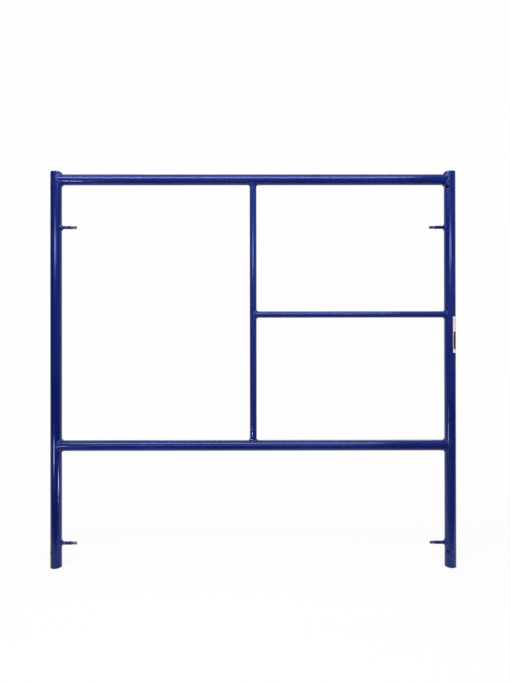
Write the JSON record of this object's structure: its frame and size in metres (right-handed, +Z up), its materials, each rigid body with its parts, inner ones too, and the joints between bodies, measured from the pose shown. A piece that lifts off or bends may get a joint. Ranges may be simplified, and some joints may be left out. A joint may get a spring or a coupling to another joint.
{
  "type": "frame scaffold section",
  "caption": "Welded tubular steel scaffold frame: open posts with pin holes, coped ledgers and struts, and inward brace studs that end in hinged flip locks.",
  "frame": {"origin": "on the ground, midway between the feet of the two posts", "axes": "+X along the width, to the right seen from the front; +Y away from the front; +Z up"},
  "size_m": [1.567, 0.0455, 1.524],
  "materials": {
    "blue_enamel": "gloss enamel over welded tube",
    "lock_steel": "dull zinc plate"
  },
  "bodies": {
    "frame": {"left_post": "blue_enamel", "right_post": "blue_enamel", "top_ledger": "blue_enamel", "bottom_ledger": "blue_enamel", "upright_strut": "blue_enamel", "cross_strut": "blue_enamel", "stud_upper_left": "blue_enamel", "stud_upper_right": "blue_enamel", "stud_lower_left": "blue_enamel", "stud_lower_right": "blue_enamel", "rivet_upper_left": "lock_steel", "rivet_upper_right": "lock_steel", "rivet_lower_left": "lock_steel", "rivet_lower_right": "lock_steel", "weld_top_ledger_left": "blue_enamel", "weld_top_ledger_right": "blue_enamel", "weld_bottom_ledger_left": "blue_enamel", "weld_bottom_ledger_right": "blue_enamel", "weld_upright_top": "blue_enamel", "weld_upright_bottom": "blue_enamel", "weld_cross_strut_inner": "blue_enamel", "weld_cross_strut_outer": "blue_enamel", "weld_stud_upper_left": "blue_enamel", "weld_stud_upper_right": "blue_enamel", "weld_stud_lower_left": "blue_enamel", "weld_stud_lower_right": "blue_enamel"},
    "upper_left_lock": {"lock_upper_left": "lock_steel"},
    "upper_right_lock": {"lock_upper_right": "lock_steel"},
    "lower_left_lock": {"lock_lower_left": "lock_steel"},
    "lower_right_lock": {"lock_lower_right": "lock_steel"}
  },
  "joints": [
    {"name": "upper_left_lock_hinge", "type": "hinge", "parent": "frame", "child": "upper_left_lock", "pos_m": [-0.7017, 0, 1.3102], "axis": [0, 1, 0], "range_deg": [0, 90]},
    {"name": "upper_right_lock_hinge", "type": "hinge", "parent": "frame", "child": "upper_right_lock", "pos_m": [0.7017, 0, 1.3102], "axis": [0, -1, 0], "range_deg": [0, 90]},
    {"name": "lower_left_lock_hinge", "type": "hinge", "parent": "frame", "child": "lower_left_lock", "pos_m": [-0.7017, 0, 0.091], "axis": [0, 1, 0], "range_deg": [0, 90]},
    {"name": "lower_right_lock_hinge", "type": "hinge", "parent": "frame", "child": "lower_right_lock", "pos_m": [0.7017, 0, 0.091], "axis": [0, -1, 0], "range_deg": [0, 90]}
  ]
}
